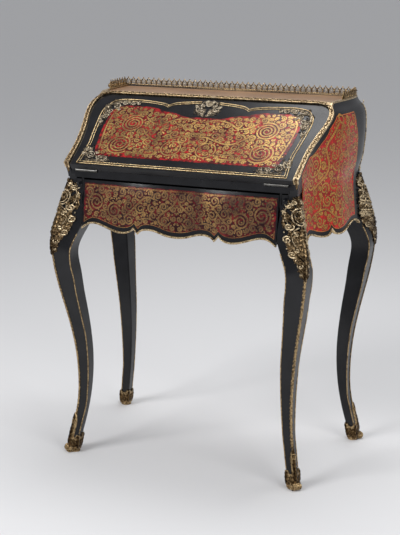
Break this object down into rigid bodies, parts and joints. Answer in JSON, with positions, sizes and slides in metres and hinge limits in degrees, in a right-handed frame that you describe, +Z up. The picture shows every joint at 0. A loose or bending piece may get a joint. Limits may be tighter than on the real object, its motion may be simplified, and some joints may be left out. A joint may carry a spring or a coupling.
{
  "type": "slant front writing desk",
  "caption": "Slant-front lady's writing desk with bombe sides, marquetry panels, frieze drawer, fitted interior, pierced gallery and cabriole legs with gilt-bronze mounts",
  "frame": {"origin": "on the floor under the middle of the desk", "axes": "+Z up, -Y towards the person who writes at it, +X to that person's right"},
  "size_m": [0.7574, 0.4512, 0.9355],
  "materials": {
    "ebonised_wood": "black polished ebonised wood",
    "marquetry": "polished marquetry of brass scrolls in red shell ground",
    "gilt_bronze": "aged gilt bronze, cast and chased",
    "plain_brass": "plain polished brass",
    "inner_wood": "waxed wood",
    "leather": "smooth writing leather"
  },
  "bodies": {
    "carcass": {"side_panel_left": "ebonised_wood", "side_panel_right": "ebonised_wood", "slant_moulding_left": "gilt_bronze", "slant_moulding_right": "gilt_bronze", "side_apron_beads": "gilt_bronze", "front_leg_left": "ebonised_wood", "front_leg_right": "ebonised_wood", "rear_leg_left": "ebonised_wood", "rear_leg_right": "ebonised_wood", "front_knee_mount_left": "gilt_bronze", "front_knee_mount_right": "gilt_bronze", "rear_knee_mount_left": "gilt_bronze", "rear_knee_mount_right": "gilt_bronze", "leg_ridge_strips": "gilt_bronze", "front_shoe_left": "gilt_bronze", "front_shoe_right": "gilt_bronze", "rear_shoe_left": "gilt_bronze", "rear_shoe_right": "gilt_bronze", "writing_bed": "ebonised_wood", "top_board": "ebonised_wood", "top_rail": "ebonised_wood", "top_moulding": "gilt_bronze", "back_panel": "ebonised_wood", "drawer_runners": "inner_wood", "loper_guides": "inner_wood", "gallery_back": "gilt_bronze", "gallery_side_left": "gilt_bronze", "gallery_side_right": "gilt_bronze", "hinges_bed": "plain_brass", "hinge_pins": "plain_brass", "hinge_screws_bed": "plain_brass", "nest_case": "inner_wood", "nest_dividers": "inner_wood"},
    "fall": {"fall_panel": "ebonised_wood", "fall_leather": "leather", "fall_fillet": "gilt_bronze", "fall_corner_mounts": "gilt_bronze", "fall_escutcheon": "gilt_bronze", "fall_lock": "plain_brass", "hinges_fall": "plain_brass", "hinge_screws_fall": "plain_brass"},
    "fall_bolt": {"fall_bolt": "plain_brass"},
    "drawer": {"drawer_front": "marquetry", "drawer_bead": "gilt_bronze", "drawer_sides": "inner_wood", "drawer_back": "inner_wood", "drawer_bottom": "inner_wood"},
    "loper_left": {"loper_left": "ebonised_wood", "loper_knob_left": "ebonised_wood"},
    "loper_right": {"loper_right": "ebonised_wood", "loper_knob_right": "ebonised_wood"},
    "nest_drawer_left": {"nest_drawer_left": "inner_wood", "nest_knob_left": "plain_brass"},
    "nest_drawer_middle": {"nest_drawer_middle": "inner_wood", "nest_knob_middle": "plain_brass"},
    "nest_drawer_right": {"nest_drawer_right": "inner_wood", "nest_knob_right": "plain_brass"}
  },
  "joints": [
    {"name": "fall_hinge", "type": "hinge", "parent": "carcass", "child": "fall", "pos_m": [0, -0.187, 0.742], "axis": [1, 0, 0], "range_deg": [0, 145.4]},
    {"name": "fall_bolt_slide", "type": "slide", "parent": "fall", "child": "fall_bolt", "axis": [0, 0.8231, 0.5678], "range_m": [0, 0.009]},
    {"name": "drawer_slide", "type": "slide", "parent": "carcass", "child": "drawer", "axis": [0, -1, 0], "range_m": [0, 0.25]},
    {"name": "loper_left_slide", "type": "slide", "parent": "carcass", "child": "loper_left", "axis": [0, -1, 0], "range_m": [0, 0.2]},
    {"name": "loper_right_slide", "type": "slide", "parent": "carcass", "child": "loper_right", "axis": [0, -1, 0], "range_m": [0, 0.2]},
    {"name": "nest_drawer_left_slide", "type": "slide", "parent": "carcass", "child": "nest_drawer_left", "axis": [0, -1, 0], "range_m": [0, 0.095]},
    {"name": "nest_drawer_middle_slide", "type": "slide", "parent": "carcass", "child": "nest_drawer_middle", "axis": [0, -1, 0], "range_m": [0, 0.095]},
    {"name": "nest_drawer_right_slide", "type": "slide", "parent": "carcass", "child": "nest_drawer_right", "axis": [0, -1, 0], "range_m": [0, 0.095]}
  ]
}
